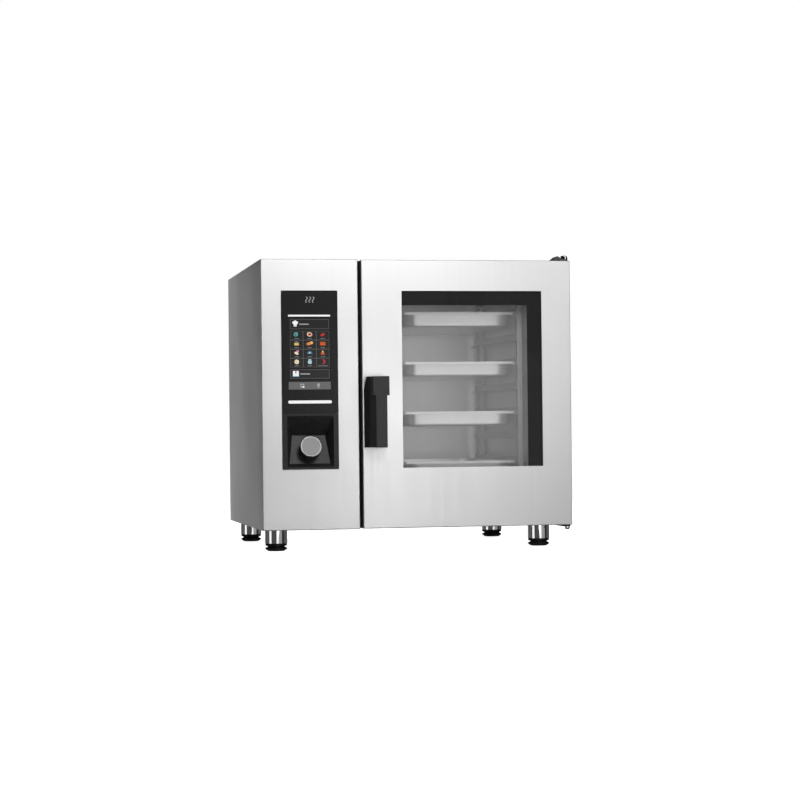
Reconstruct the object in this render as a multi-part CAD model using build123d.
from build123d import *
import os
from math import atan2, cos, pi, sin, sqrt

# A six-tier combi steamer oven on four levelling legs: a control column on the left, a glazed door
# hinged on the right, and a cooking cavity for GN 1/1 pans with a fan in its left wall.
#
# Every shape is drawn from the front bottom left corner of the casing: x runs right, y runs back
# from the door's face, and z runs up. save() moves it to the part's frame, whose origin is on the
# floor, under the middle of the whole oven.

# ---- driving dimensions, mm ----
width = 852                 # across the casing
depth = 785                 # door face to the back of the casing
body_height = 725           # casing without its legs
floor_gap = 58              # floor to the underside of the casing
handle_reach = 64           # door face to the front of the handle
rear_reach = 27             # back of the casing to the end of the pipe stubs
sheet = 1.5                 # casing and door sheet
edge_radius = 2             # folded outside edges

control_width = 262.5       # control column
side_wrap = 90              # how far the fascia wraps round the left side
door_left = 272             # left edge of the door
door_clear = 1              # door to casing, above and below
door_back = 52              # back of the door
face_y = 62                 # front plate of the body, behind the door

window_x = (382, 771)       # opening in the door's skin
window_z = (163, 640.5)
mask_x = 731                # inner edges of the black border behind the glass
mask_z = 602

cavity_x = (300, 746)       # inside of the cavity
cavity_z = (132, 652)
cavity_back = 650
cavity_corner = 40
mouth_x = 352               # left edge of the cavity's mouth; the fan chamber is hidden beside it
insulation_wall = 34

pan_width = 325             # GN 1/1
pan_length = 530
pan_depth = 40
pan_front = 107
pan_middle = 562.75
rail_pitch = 68.5
first_rim = 178             # height of the lowest pan's rim
rim_height = 7              # rolled edge of a pan
rim_width = 11
rail_count = 7
pan_count = 4

bezel_x = (54, 206.5)       # black control panel
bezel_z = (162, 641)
glass_foot = 312            # lower edge of the touch glass
glass_gap = 0.2             # joint between the glass and the apron below it
bezel_proud = 2.5
bezel_middle = sum(bezel_x) / 2
pocket_z = (168.5, 305)     # mouth of the knob's pocket
pocket_half = 62.7
pocket_floor = ((14, 177.5), (37, 253))     # (y, z) of the floor's front and back edges
pocket_draft = 0.46
knob_radius = 29.5
knob_height = 35.5
knob_travel = 3
knob_share = 0.48           # how far up the pocket's floor the knob's axis starts
encoder_shaft = 3           # radii of the encoder's turning and pushing parts
encoder_sleeve = 4.5
display_z = (372, 581)      # display frame behind the glass
board_y = (60, 62)          # circuit board behind it
board_z = (200, 600)

hinge_x, hinge_y = 841, 16
pin_radius = 5
bush_radius = 7
running = 0.05              # radial clearance of everything that turns or slides
spindle_x, spindle_z = 312.5, 384.5
spindle_radius = 7

fan_y, fan_z = 357, 392
fan_radius = 165
fan_blades = 32
fan_eye = 118               # open middle of the wheel's front ring
shaft_radius = 9
heater_radius = 182         # heating rings round the fan
heater_tube = 4.25
heater_spread = 20          # each leg's distance from the middle line
motor_radius = 68
drain_x, drain_height = 523, 45
drain_radius = 25           # spigot outside the rear panel
drain_bend = 46
flue_x, flue_y = 660, 600
flue_radius = 19.8

leg_x = (46, 777)
leg_y = (85, 650)
leg_radius = 30
foot_height = 21
foot_travel = 20

handle_z = (219, 409)
housing_x = (276, 339)      # fixed housing where it meets the door
housing_nose_x = (286, 333)
hub_x = (290, 335)          # front of the square hub
hub_back_x = (287, 336)
grip_x = (298, 328.5)       # front of the grip
grip_back_x = (287, 331)
hub_foot = 358              # lower edge of the lever's square hub
lever_back = -38            # gap between the lever and its fixed housing

baffle_x = (372, 373.5)     # air guide in front of the fan
baffle_y = (105, 615)
baffle_z = (160, 624)
inlet_radius = 13.2         # three-quarter inch water thread
inlet_x = (120, 180)
inlet_height = 120
gland_x, gland_height = 60, 60
screw_x = (22, 290, 560, 830)               # rear panel screws
screw_z = (14, 362, 711)

front = -(depth + handle_reach + rear_reach) / 2 + handle_reach
to_frame = Location((-width / 2, front, floor_gap))

SITS = (Align.CENTER, Align.CENTER, Align.MIN)


# ---- drawing helpers ----
def block(x, y, z):
    """A box between the two given values on each axis."""
    size = Box(x[1] - x[0], y[1] - y[0], z[1] - z[0])
    return Pos((x[0] + x[1]) / 2, (y[0] + y[1]) / 2, (z[0] + z[1]) / 2) * size


def rod_x(radius, x, y, z):
    return Pos(x[0], y, z) * Rot(0, 90, 0) * Cylinder(radius, x[1] - x[0], align=SITS)


def rod_y(radius, y, x, z):
    return Pos(x, y[1], z) * Rot(90, 0, 0) * Cylinder(radius, y[1] - y[0], align=SITS)


def rod_z(radius, z, x, y):
    return Pos(x, y, z[0]) * Cylinder(radius, z[1] - z[0], align=SITS)


def prism_x(points, x):
    """Extrude a (y, z) outline between two x values."""
    outline = Plane.YZ.offset(x[0]) * make_face(Polyline(*points, close=True))
    return extrude(outline, x[1] - x[0], dir=(1, 0, 0))


def prism_y(points, y):
    """Extrude an (x, z) outline between two y values."""
    plane = Plane((0, y[0], 0), x_dir=(1, 0, 0), z_dir=(0, -1, 0))
    outline = plane * make_face(Polyline(*points, close=True))
    return extrude(outline, y[1] - y[0], dir=(0, 1, 0))


def prism_z(points, z):
    """Extrude an (x, y) outline between two z values."""
    outline = Plane.XY.offset(z[0]) * make_face(Polyline(*points, close=True))
    return extrude(outline, z[1] - z[0])


def grown(span, amount):
    return span[0] - amount, span[1] + amount


def ring_y(x, y, z, wall):
    """A flat rectangular ring in the x-z plane, its inner edges at x and z."""
    return block(grown(x, wall), y, grown(z, wall)) - block(x, y, z)


def rounded_block(x, y, z, radius):
    """A box whose front edges are rounded."""
    solid = block(x, y, z)
    return fillet(solid.faces().sort_by(Axis.Y)[0].edges(), radius)


def joined(pieces):
    return Part() + pieces


def save(name, shape):
    solids = shape.solids()
    body = solids[0] if len(solids) == 1 else Compound(children=list(solids))
    export_step(body.moved(to_frame), f"parts/{name}.step")
    print(f"{name:22s} {len(solids)} solid(s)")


# ---- casing ----
def front_fascia():
    """Control column sheet: a front with four returns, the left one wrapping the side."""
    x, z = (0, control_width), (0, body_height)
    skin = rounded_block(x, (0, side_wrap), z, edge_radius)
    skin -= rounded_block(grown(x, -sheet), (sheet, side_wrap), grown(z, -sheet), edge_radius - sheet)
    skin -= block((sheet, control_width), (face_y - 0.5, side_wrap), z)
    return skin - block(grown(bezel_x, -4), (-1, 5), grown(bezel_z, -4))


def left_side_panel():
    panel = block((0, sheet), (side_wrap + 0.5, depth), (0, body_height))
    flange = block((sheet, 14), (depth - sheet, depth), (0, body_height))
    return panel + flange


def right_side_panel():
    panel = block((width - sheet, width), (face_y, depth), (0, body_height))
    flange = block((width - 14, width - sheet), (depth - sheet, depth), (0, body_height))
    return panel + flange


def top_cover():
    x, y = (sheet + 0.1, width - sheet - 0.1), (face_y, depth - sheet - 0.1)
    cover = block(x, y, (body_height - 20, body_height))
    cover -= block(grown(x, -sheet), grown(y, -sheet), (body_height - 20, body_height - sheet))
    cover -= block((0, control_width + 20), (0, side_wrap), (0, body_height - sheet))
    for x_screw, z_screw in screw_places():
        cover -= rod_y(2.1, (depth - 5, depth + 5), x_screw, z_screw)
    return cover - rod_z(21, (body_height - 5, body_height + 1), flue_x, flue_y)


def rear_fittings():
    """(x, z, radius) of the pipes and the gland that pass through the rear panel."""
    inlets = [(x, inlet_height, inlet_radius + 2) for x in inlet_x]
    return [(drain_x, drain_height, drain_radius + 1), (gland_x, gland_height, 13)] + inlets


def screw_places():
    """(x, z) of the screws that hold the rear panel."""
    return [(x, z) for x in screw_x for z in screw_z]


def rear_panel():
    """Back sheet, with two banks of cooling slots beside the control column."""
    panel = block((14.1, width - 14.1), (depth - sheet, depth), (2, body_height - 2))
    panel += block((14.1, width - 14.1), (depth - 12, depth - sheet), (2, 2 + sheet))
    for x, z, radius in rear_fittings():
        panel -= rod_y(radius, (depth - 5, depth + 5), x, z)
    for x, z in screw_places():
        panel -= rod_y(2.1, (depth - 5, depth + 5), x, z)
    slots = [block((x, x + 60), (depth - 5, depth + 5), (z, z + 5))
             for x in (60, 135, 610, 685) for z in range(480, 640, 14)]
    return panel - joined(slots)


def casing_screws():
    screws = []
    for x, z in screw_places():
        head = fillet(rod_y(4.5, (depth, depth + 2.6), x, z).faces().sort_by(Axis.Y)[-1].edges(), 1.2)
        head -= block((x - 3, x + 3), (depth + 1.4, depth + 3), (z - 0.6, z + 0.6))
        screws.append(head + rod_y(2, (depth - 12, depth), x, z))
    return Compound(children=[screw.solid() for screw in screws])


def base_tray():
    x, y = (sheet + 0.1, width - sheet - 0.1), (face_y, depth - sheet - 0.1)
    tray = block(x, y, (0, 26)) - block(grown(x, -sheet), grown(y, -sheet), (sheet, 26))
    notch = block((0, control_width + 20), (0, side_wrap), (sheet, 30))
    return tray - notch - block((0, width), (depth - 20, depth), (sheet, 30))


def leg_tubes():
    """Chrome legs, each with a closed top and a threaded plug for its foot."""
    legs = []
    foot_top = foot_height - floor_gap
    for x in leg_x:
        for y in leg_y:
            leg = rod_z(leg_radius, (foot_top, 0), x, y) - rod_z(leg_radius - 1.5, (foot_top, -3), x, y)
            plug = rod_z(leg_radius - 1.5, (foot_top + 1, foot_top + 11), x, y)
            plug -= rod_z(8 + running, (foot_top, 0), x, y)
            legs.append((leg + plug).solid())
    return Compound(children=legs)


def foot(x, y):
    """Levelling foot: a screw stem, a collar, a waist and a chamfered pad."""
    top = foot_height - floor_gap
    half = [(0, top + 29), (8, top + 29), (8, top), (29, top), (29, top - 6), (23, top - 8),
            (23, top - 10), (29, top - 12), (29, top - 16), (21, -floor_gap), (0, -floor_gap)]
    outline = Plane.XZ * make_face(Polyline(*half, close=True))
    return Pos(x, y, 0) * revolve(outline, Axis.Z)


# ---- cavity ----
def back_corner_box(x, y, z, radius):
    """A box whose two upright back edges are rounded."""
    solid = block(x, y, z)
    return fillet(solid.edges().filter_by(Axis.Z).group_by(Axis.Y)[-1], radius)


def heater_legs(radius, x):
    z = fan_z - sqrt(heater_radius ** 2 - heater_spread ** 2)
    return joined([rod_x(radius, x, fan_y + side * heater_spread, z) for side in (-1, 1)])


def cavity_liner():
    y = (face_y + 2, cavity_back)
    outer = back_corner_box(grown(cavity_x, sheet), (y[0], y[1] + sheet), grown(cavity_z, sheet),
                            cavity_corner + sheet)
    liner = outer - back_corner_box(cavity_x, y, cavity_z, cavity_corner)
    liner -= rod_x(13, (cavity_x[0] - 5, cavity_x[0] + 5), fan_y, fan_z)
    liner -= heater_legs(6.2, (cavity_x[0] - 5, cavity_x[0] + 5))
    liner -= rod_z(25, (cavity_z[0] - 5, cavity_z[0] + 5), drain_x, fan_y)
    return liner - rod_z(20, (cavity_z[1] - 5, cavity_z[1] + 5), flue_x, flue_y)


def cavity_front_frame():
    plate = block((control_width + 0.1, width - sheet - 0.1), (face_y, face_y + 2), (27, 704))
    return plate - block((mouth_x, cavity_x[1]), (0, 100), cavity_z)


def door_seal():
    """Hollow silicone seal round the cavity's mouth."""
    x, z = grown((mouth_x, cavity_x[1]), 4), grown(cavity_z, 4)
    ring = ring_y(x, (door_back + 0.3, face_y), z, 12)
    return ring - ring_y(grown(x, 3), (door_back + 3.3, face_y - 2.5), grown(z, 3), 6)


def insulation():
    """Mineral wool on five sides of the liner."""
    outer = block(grown(cavity_x, insulation_wall), (face_y + 4, cavity_back + insulation_wall),
                  grown(cavity_z, insulation_wall))
    inner = back_corner_box(grown(cavity_x, sheet), (face_y + 2, cavity_back + sheet),
                            grown(cavity_z, sheet), cavity_corner + sheet)
    wool = outer - inner - rod_x(30, (250, 301), fan_y, fan_z) - heater_legs(8, (250, 301))
    wool -= rod_z(27, (90, 135), drain_x, fan_y)
    return wool - rod_z(22, (640, 700), flue_x, flue_y)


def gap_trim():
    """Black strip that closes the gap between the control column and the door."""
    return block((control_width + 0.1, control_width + 8), (30, face_y), (2, body_height - 2))


def fan_baffle():
    """Air guide in front of the fan, with a barred round inlet and two columns of slots."""
    through = grown(baffle_x, 2)
    plate = block(baffle_x, baffle_y, baffle_z) - rod_x(95, through, fan_y, fan_z)
    bars = [block(baffle_x, grown((fan_y, fan_y), 96), grown((fan_z + k * 20, fan_z + k * 20), 1.5))
            for k in range(-4, 5)]
    plate += joined(bars) & rod_x(96, baffle_x, fan_y, fan_z)
    slots = [block(through, (row, row + 60), (level, level + 6))
             for row in (130, 530) for level in range(200, 600, 40)]
    return plate - joined(slots)


def baffle_studs():
    """Four studs that hold the air guide off the cavity's wall."""
    studs = [rod_x(6, (cavity_x[0], baffle_x[0]), y, z)
             for y in grown(baffle_y, -25) for z in grown(baffle_z, -20)]
    return Compound(children=[stud.solid() for stud in studs])


def heating_element():
    ring = Rot(0, 90, 0) * Torus(heater_radius, heater_tube)
    rings = [Pos(x, fan_y, fan_z) * ring for x in (318, 334, 350)]
    return joined(rings) + heater_legs(5.5, (272, 356))


def fan_motor():
    flange = block((258, 264), (fan_y - 95, fan_y + 95), (fan_z - 95, fan_z + 95))
    body = rod_x(motor_radius, (112, 258), fan_y, fan_z) + flange
    fin_z = (fan_z + motor_radius - 8, fan_z + motor_radius + 10)
    fin = block((125, 240), (fan_y - 1.5, fan_y + 1.5), fin_z)
    fins = [fin.rotate(Axis((0, fan_y, fan_z), (1, 0, 0)), 15 * k) for k in range(24)]
    return body + joined(fins) - rod_x(shaft_radius + running, (150, 265), fan_y, fan_z)


def fan_shaft():
    shaft = rod_x(shaft_radius, (152, 366), fan_y, fan_z)
    return shaft - rod_x(2, (360, 367), fan_y, fan_z)


def fan_wheel():
    """Centrifugal wheel: back disc, front ring, and blades between them."""
    back, face = 310, 362
    wheel = rod_x(fan_radius, (back, back + 2), fan_y, fan_z)
    ring = (face, face + 2)
    wheel += rod_x(fan_radius, ring, fan_y, fan_z) - rod_x(fan_eye, ring, fan_y, fan_z)
    wheel += rod_x(24, (back, back + 30), fan_y, fan_z)
    blade_z = (fan_z + fan_eye + 2, fan_z + fan_radius - 2)
    blade = block((back + 1, face + 1), (fan_y - 1, fan_y + 1), blade_z)
    blade = blade.rotate(Axis((0, fan_y, fan_z + 141), (1, 0, 0)), 25)
    step = 360 / fan_blades
    blades = [blade.rotate(Axis((0, fan_y, fan_z), (1, 0, 0)), step * k) for k in range(fan_blades)]
    return wheel + joined(blades) - rod_x(shaft_radius, (back - 1, back + 31), fan_y, fan_z)


# ---- racks and pans ----
def rack(side):
    """Two upright tubes, seven L rails and wall pegs; side is -1 on the left and 1 on the right."""
    def across(near, far):
        return tuple(sorted((pan_middle + side * near, pan_middle + side * far)))
    wall = cavity_x[1] - pan_middle if side > 0 else pan_middle - baffle_x[1]
    span_y = (pan_front - 3, pan_front + pan_length + 1)
    pieces = []
    for y in (pan_front - 1, pan_front + pan_length - 65):
        tube = block(across(165.3, 178.3), (y, y + 20), (150, 628))
        tube -= block(across(166.8, 176.8), (y + 1.5, y + 18.5), (149, 629))
        pieces.append(tube)
        pieces += [block(across(178.3, wall), (y + 5, y + 15), (z, z + 10)) for z in (170, 600)]
    for k in range(rail_count):
        seat = first_rim - rim_height + k * rail_pitch
        pieces.append(block(across(152.5, 165.3), span_y, (seat - 1.5, seat)))
        pieces.append(block(across(163.8, 165.3), span_y, (seat - 1.5, seat + 18)))
    return joined(pieces)


def rounded_sheet(x, y, radius, z):
    return Pos(0, 0, z) * RectangleRounded(x, y, radius)


def gn_pan(rim):
    """GN 1/1 pan with sloping walls, a rolled rim and a rounded floor."""
    draft, wall = 6, 1
    inner_x, inner_y = pan_width - 2 * rim_width, pan_length - 2 * rim_width
    tub = extrude(rounded_sheet(inner_x, inner_y, 42, 0), pan_depth, dir=(0, 0, -1), taper=draft)
    tub = fillet(tub.faces().sort_by(Axis.Z)[0].edges(), 9)
    hollow = extrude(rounded_sheet(inner_x - 2 * wall, inner_y - 2 * wall, 41, 0),
                     pan_depth - wall, dir=(0, 0, -1), taper=draft)
    hollow = fillet(hollow.faces().sort_by(Axis.Z)[0].edges(), 8)
    foot_z = -rim_height
    rim_plate = extrude(rounded_sheet(pan_width, pan_length, 14, foot_z), rim_height)
    rim_plate -= extrude(rounded_sheet(pan_width - 3, pan_length - 3, 12.5, foot_z), rim_height - wall)
    rim_plate -= extrude(rounded_sheet(inner_x - 2 * wall, inner_y - 2 * wall, 41, foot_z), rim_height)
    pan = (tub - hollow) + rim_plate
    return Pos(pan_middle, pan_front + pan_length / 2, rim) * pan


# ---- water, drain and flue ----
def drain_path():
    y, bend = fan_y, drain_bend
    down = Line((drain_x, y, cavity_z[0]), (drain_x, y, drain_height + bend))
    arc_middle = Vector(drain_x, y + bend * (1 - cos(pi / 4)), drain_height + bend * (1 - sin(pi / 4)))
    turn = ThreePointArc(down @ 1, arc_middle, (drain_x, y + bend, drain_height))
    run = Line(turn @ 1, (drain_x, depth + rear_reach, drain_height))
    return down + turn + run


def drain_pipe():
    path = drain_path()
    start = Plane(origin=(drain_x, fan_y, cavity_z[0]), z_dir=(0, 0, -1))
    pipe = sweep(start * Circle(24.2), path=path)
    pipe += rod_y(drain_radius, (depth + 2, depth + rear_reach), drain_x, drain_height)
    return pipe - sweep(start * Circle(22.7), path=path)


def drain_strainer():
    """Domed strainer that drops into the mouth of the drain."""
    disc = rod_z(34, (cavity_z[0], cavity_z[0] + 1.5), drain_x, fan_y)
    skirt = rod_z(21, (cavity_z[0] - 14, cavity_z[0]), drain_x, fan_y)
    skirt -= rod_z(19.5, (cavity_z[0] - 14, cavity_z[0]), drain_x, fan_y)
    strainer = disc + skirt
    holes = [rod_z(2.4, (100, 140), drain_x + r * cos(2 * pi * k / n), fan_y + r * sin(2 * pi * k / n))
             for r, n in ((0, 1), (8, 6), (15, 10)) for k in range(n)]
    return strainer - joined(holes)


def flue_stub():
    tube = rod_z(flue_radius, (cavity_z[1], body_height + 30), flue_x, flue_y)
    tube += rod_z(32, (body_height, body_height + 2), flue_x, flue_y)
    return tube - rod_z(flue_radius - sheet, (cavity_z[1] - 1, body_height + 31), flue_x, flue_y)


def water_inlet_valves():
    """Two solenoid valves whose threaded inlets pass through the rear panel."""
    valves = []
    for x in inlet_x:
        inlet = rod_y(inlet_radius, (depth - 40, depth + rear_reach), x, inlet_height)
        inlet += block((x - 17, x + 17), (depth - 60, depth - 26),
                       (inlet_height - 17, inlet_height + 17))
        inlet += rod_y(17, (depth - 8, depth - sheet), x, inlet_height)
        coil = rod_z(14, (inlet_height + 17, inlet_height + 52), x, depth - 43)
        bore = rod_y(9, (depth - 20, depth + rear_reach + 1), x, inlet_height)
        valves.append((inlet + coil - bore).solid())
    return Compound(children=valves)


def cable_gland():
    """Empty gland for the supply cable."""
    face = Plane((gland_x, depth, gland_height), x_dir=(1, 0, 0), z_dir=(0, 1, 0))
    gland = extrude(face * RegularPolygon(16, 6), 8)
    gland += rod_y(13, (depth - 16, depth), gland_x, gland_height)
    gland += rod_y(14.5, (depth + 8, depth + 22), gland_x, gland_height)
    return gland - rod_y(8, (depth - 17, depth + 23), gland_x, gland_height)


# ---- controls ----
def pocket_shape(wall, y_front):
    """The knob's pocket, grown by a wall thickness."""
    (y0, z0), (y1, z1) = pocket_floor
    outline = [(y_front, pocket_z[0] - wall), (y0 + wall, z0 - wall), (y1 + wall, z1 + wall / 2),
               (y_front, pocket_z[1] + wall)]
    deep = y1 + 2 * wall + 5
    near = pocket_half + wall
    far = near - pocket_draft * (deep + bezel_proud)
    plan = [(bezel_middle - near, y_front), (bezel_middle + near, y_front),
            (bezel_middle + far, deep), (bezel_middle - far, deep)]
    return prism_x(outline, bezel_x) & prism_z(plan, (pocket_z[0] - 20, pocket_z[1] + 20))


def knob_plane():
    """Plane on the pocket's floor, under the knob, facing out along the knob's axis."""
    (y0, z0), (y1, z1) = pocket_floor
    tilt = atan2(y1 - y0, z1 - z0)
    origin = (bezel_middle, y0 + knob_share * (y1 - y0), z0 + knob_share * (z1 - z0))
    return Plane(origin, x_dir=(1, 0, 0), z_dir=(0, -cos(tilt), sin(tilt)))


def on_knob_axis(shape):
    return knob_plane().location * shape


def local_rod(radius, z):
    return Pos(0, 0, z[0]) * Cylinder(radius, z[1] - z[0], align=SITS)


def control_bezel():
    """Moulded panel: frame behind the glass, plain apron below it, and the knob's pocket."""
    apron = block(bezel_x, (-bezel_proud, 0), (bezel_z[0], glass_foot))
    apron = fillet(apron.edges().filter_by(Axis.Y).group_by(Axis.Z)[0], 1.5)
    inside_x, inside_z = grown(bezel_x, -4.5), (bezel_z[0] + 4.5, bezel_z[1] - 4.5)
    frame = block(inside_x, (0, 10), inside_z)
    frame -= block((bezel_x[0] + 10, bezel_x[1] - 10), (0, 10), (glass_foot + 10, bezel_z[1] - 10))
    pocket = pocket_shape(2.5, 0)
    bezel = apron + frame + pocket - pocket_shape(0, -bezel_proud)
    return bezel - on_knob_axis(local_rod(6.1, (-12, 5)))


def control_glass():
    glass = block(bezel_x, (-bezel_proud, 0), (glass_foot + glass_gap, bezel_z[1]))
    glass = fillet(glass.edges().filter_by(Axis.Y).group_by(Axis.Z)[-1], 1.5)
    return chamfer(glass.faces().sort_by(Axis.Y)[0].edges(), 0.4)


def display_module():
    module = block(grown(bezel_x, -16), (0.2, 8), display_z)
    return module + block(grown(bezel_x, -26), (8, 14), grown(display_z, -20))


def control_board():
    """Circuit board on four pillars behind the display, with its largest components."""
    board = block((30, 235), board_y, board_z)
    for z, size in ((250, 30), (330, 44), (420, 36), (500, 50)):
        board += block((60, 60 + size * 1.4), (board_y[0] - 10, board_y[0]), (z, z + size))
    pillars = [block((x, x + 8), (15, board_y[0]), (z, z + 8)) for x in (32, 225) for z in (320, 590)]
    arms = [block((x, 66 if x < 100 else x + 8), (10, 18), (z, z + 8))
            for x in (32, 225) for z in (320, 590)]
    reach = [block((194, 233), (10, 18), (z, z + 8)) for z in (320, 590)]
    return board + joined(pillars) + joined(arms) + joined(reach)


def encoder_body():
    body = Pos(0, 0, -18) * Box(26, 26, 14.2, align=SITS)
    body += local_rod(6, (-4, 1))
    return on_knob_axis(body - local_rod(encoder_sleeve + running, (-19, 2)))


def encoder_plunger():
    sleeve = local_rod(encoder_sleeve, (-14.5, 2.5))
    return on_knob_axis(sleeve - local_rod(encoder_shaft + running, (-15, 3)))


def knob_shaft():
    return on_knob_axis(local_rod(encoder_shaft, (-13.5, 28)) + local_rod(encoder_sleeve, (2.6, 4)))


def knob_body():
    """Dark skirt of the knob, hollow underneath, with a boss on the shaft."""
    top = knob_height - 3
    skirt = local_rod(knob_radius - 1, (knob_travel + 0.8, top))
    skirt = fillet(skirt.faces().sort_by(Axis.Z)[0].edges(), 0.8)
    skirt -= local_rod(knob_radius - 4, (0, top - 4))
    boss = local_rod(8, (5, top - 3))
    return on_knob_axis(skirt + boss - local_rod(encoder_shaft, (0, 28)))


def knob_cap():
    cap = local_rod(knob_radius, (knob_height - 3, knob_height))
    cap = chamfer(cap.faces().sort_by(Axis.Z)[-1].edges(), 1.6, 2.2)
    return on_knob_axis(cap)


# ---- door ----
def door_x():
    return door_left, width


def door_z():
    return door_clear, body_height - door_clear


def hinge_hole(radius):
    return rod_z(radius, (-5, body_height + 5), hinge_x, hinge_y)


def door_skin():
    """Front sheet of the door with its window and four returns."""
    skin = rounded_block(door_x(), (0, 30), door_z(), edge_radius)
    skin -= rounded_block(grown(door_x(), -sheet), (sheet, 30), grown(door_z(), -sheet),
                          edge_radius - sheet)
    skin -= block(window_x, (-1, 5), window_z)
    skin -= rod_y(8, (-1, 5), spindle_x, spindle_z)
    return skin - hinge_hole(bush_radius)


def inner_mouth():
    """(x, z) spans of the opening in the door's inner pan."""
    return (mouth_x, cavity_x[1] - 1), (cavity_z[0] + 20, cavity_z[1] - 10)


def door_inner_pan():
    x, z = grown(door_x(), -sheet - 0.1), grown(door_z(), -sheet - 0.1)
    tray = block(x, (4, door_back), z) - block(grown(x, -1.2), (4, door_back - sheet), grown(z, -1.2))
    mouth, mouth_height = inner_mouth()
    tray -= block(mouth, (40, 60), mouth_height)
    tray -= rod_y(8, (45, 60), spindle_x, spindle_z)
    return tray - hinge_hole(bush_radius)


def door_outer_glass():
    pane = block(grown(window_x, 18), (sheet + 0.1, 6.6), grown(window_z, 18))
    return fillet(pane.edges().filter_by(Axis.Y), 6)


def window_mask():
    """Black border behind the outer glass, along its top and hinge side."""
    x, z = grown(window_x, 18), grown(window_z, 18)
    return block(x, (6.6, 7.8), (mask_z, z[1])) + block((mask_x, x[1]), (6.6, 7.8), z)


def door_led_strip():
    body = block((742, 764), (7.8, 20), (170, 630))
    return chamfer(body.edges().filter_by(Axis.Z).group_by(Axis.Y)[-1].sort_by(Axis.X)[0], 8)


def door_inner_glass():
    mouth, mouth_height = inner_mouth()
    return block(grown(mouth, 10), (door_back - 10, door_back - 5), grown(mouth_height, 10))


def inner_glass_seal():
    mouth, mouth_height = inner_mouth()
    return ring_y(mouth, (door_back - 5, door_back - sheet), mouth_height, 10)


def glass_clips():
    """Four clips that hold the inner pane against its seal."""
    (x0, x1), (z0, z1) = inner_mouth()
    clips = []
    for z in (z0 + 60, z1 - 60):
        for edge, way in ((x0 - 10, -1), (x1 + 10, 1)):
            post = block(tuple(sorted((edge + way * 0.3, edge + way * 6))), (38, door_back - sheet),
                         (z - 12, z + 12))
            finger = block(tuple(sorted((edge - way * 7, edge + way * 6))), (38, door_back - 10),
                           (z - 12, z + 12))
            clips.append((post + finger).solid())
    return Compound(children=clips)


def drip_gutter():
    """Channel on the door's inner face that catches condensate below the seal."""
    x = (330, 800)
    channel = block(x, (door_back, door_back + 9), (84, 104))
    return channel - block(grown(x, -2), (door_back + 1.5, door_back + 7.5), (86, 105))


def hinge_bushes():
    """Brass bushes in the door's top and bottom, each with a flange against the inner pan."""
    bushes = []
    for z, flange in (((704, 724), (718, 721.2)), ((1, 21), (3.8, 7))):
        bush = rod_z(bush_radius, z, hinge_x, hinge_y) + rod_z(8.1, flange, hinge_x, hinge_y)
        bushes.append((bush - hinge_hole(pin_radius + running)).solid())
    return Compound(children=bushes)


def hinge_arm(x, z):
    """Arm that carries a hinge pin in front of the casing."""
    arm = block(x, (hinge_y - 10, 100), z)
    return fillet(arm.edges().filter_by(Axis.Z).group_by(Axis.Y)[0], 9)


def hinge_brackets():
    """Arms above and below the door; the top one has a gusset folded up along its left edge."""
    z = (body_height, body_height + 4)
    gusset = prism_y([(806, z[0]), (836, z[0]), (836, z[1]), (820.5, z[0] + 12)], (hinge_y - 8, 60))
    gusset -= rod_z(9.8, (z[1], z[1] + 20), hinge_x, hinge_y)
    arms = [hinge_arm((818, 850), z) + gusset, hinge_arm((830, 850), (-4, 0))]
    return Compound(children=[(arm - hinge_hole(pin_radius)).solid() for arm in arms])


def hinge_pins():
    """Headed pins, pushed through the brackets into the door's bushes."""
    high = rod_z(pin_radius, (706, body_height + 4), hinge_x, hinge_y)
    head = rod_z(9.5, (body_height + 4, body_height + 14), hinge_x, hinge_y)
    head = fillet(head.faces().sort_by(Axis.Z)[-1].edges(), 2.5)
    low = rod_z(pin_radius, (-4, 19), hinge_x, hinge_y)
    dome = rod_z(7, (-12, -4), hinge_x, hinge_y)
    dome = fillet(dome.faces().sort_by(Axis.Z)[0].edges(), 5)
    return Compound(children=[(high + head).solid(), (low + dome).solid()])


# ---- handle and latch ----
def handle_shell(wall):
    """The fixed housing's outline, shrunk by a wall thickness."""
    foot_z, top_z = grown(handle_z, -wall)
    base, nose = grown(housing_x, -wall), grown(housing_nose_x, -wall)
    front_y = lever_back + 1.5 + wall
    plan = [(base[0], 0), (base[1], 0), (nose[1], front_y), (nose[0], front_y)]
    side = [(0, foot_z), (front_y, foot_z), (front_y, top_z), (-17, top_z), (0, 372 - wall)]
    return prism_z(plan, handle_z) & prism_x(side, (270, 345))


def handle_housing():
    shell = handle_shell(0) - handle_shell(3)
    boss = rod_y(13, (lever_back + 3, 0), spindle_x, spindle_z) & handle_shell(0)
    return shell + boss - rod_y(spindle_radius + running, (-60, 5), spindle_x, spindle_z)


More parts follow.
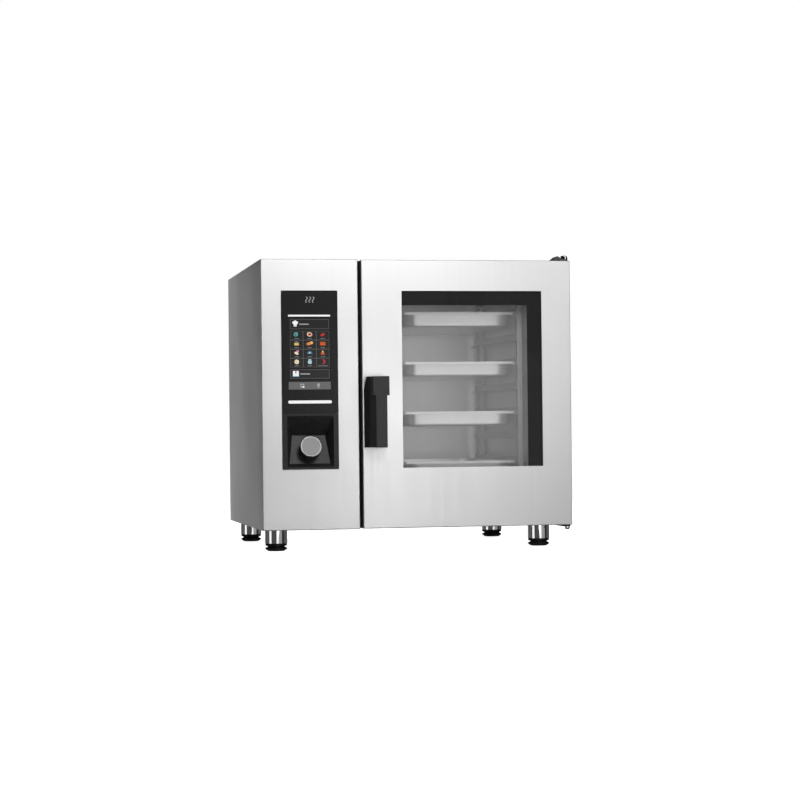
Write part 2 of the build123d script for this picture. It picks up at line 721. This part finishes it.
def handle_lever():
    """Square hub and tapering grip, in one moulding."""
    front_y = -handle_reach
    hub = prism_z([(hub_x[0], front_y), (hub_x[1], front_y),
                   (hub_back_x[1], lever_back), (hub_back_x[0], lever_back)], (hub_foot, handle_z[1]))
    grip = prism_z([(grip_x[0], front_y), (grip_x[1], front_y),
                    (grip_back_x[1], lever_back), (grip_back_x[0], lever_back)],
                   (handle_z[0], hub_foot + 2))
    lever = hub + grip
    lever = fillet(lever.faces().sort_by(Axis.Y)[0].edges(), 1.5)
    return lever - rod_y(spindle_radius, (-54, lever_back + 1), spindle_x, spindle_z)


def handle_spindle():
    return rod_y(spindle_radius, (-54, face_y - 1), spindle_x, spindle_z)


def latch_hook():
    """Latch arm on the spindle; its tip rests behind the head of the strike."""
    y = (door_back + 4.5, door_back + 8.5)
    hub = rod_y(12, y, spindle_x, spindle_z)
    arm = prism_y([(spindle_x, spindle_z - 12), (spindle_x, spindle_z + 12),
                   (spindle_x - 21, spindle_z + 7), (spindle_x - 21, spindle_z - 7)], y)
    return hub + arm - rod_y(spindle_radius, (0, 70), spindle_x, spindle_z)


def latch_strike():
    """Headed stud on the body's front plate."""
    x = spindle_x - 29
    stud = rod_y(4, (door_back + 4.2, face_y), x, spindle_z)
    return stud + rod_y(10, (door_back + 0.8, door_back + 4.2), x, spindle_z)


def main():
    os.makedirs("parts", exist_ok=True)
    makers = [
        front_fascia, left_side_panel, right_side_panel, top_cover, rear_panel, casing_screws,
        base_tray, leg_tubes, cavity_liner, cavity_front_frame, door_seal, insulation, gap_trim,
        fan_baffle, baffle_studs, heating_element, fan_motor, fan_shaft, fan_wheel, drain_pipe,
        drain_strainer, flue_stub, water_inlet_valves, cable_gland, control_bezel, control_glass,
        display_module,
        control_board, encoder_body, encoder_plunger, knob_shaft, knob_body, knob_cap, door_skin,
        door_inner_pan, door_outer_glass, window_mask, door_led_strip, door_inner_glass,
        inner_glass_seal, glass_clips, drip_gutter, hinge_bushes, hinge_brackets, hinge_pins,
        handle_housing, handle_lever, handle_spindle, latch_hook, latch_strike,
    ]
    for maker in makers:
        save(maker.__name__, maker())
    for side, name in ((-1, "rack_left"), (1, "rack_right")):
        save(name, rack(side))
    for k in range(pan_count):
        save(f"gn_pan_{k + 1}", gn_pan(first_rim + 2 * k * rail_pitch))
    for x, side in zip(leg_x, ("left", "right")):
        for y, end in zip(leg_y, ("front", "rear")):
            save(f"foot_{end}_{side}", foot(x, y))


if __name__ == "__main__":
    main()
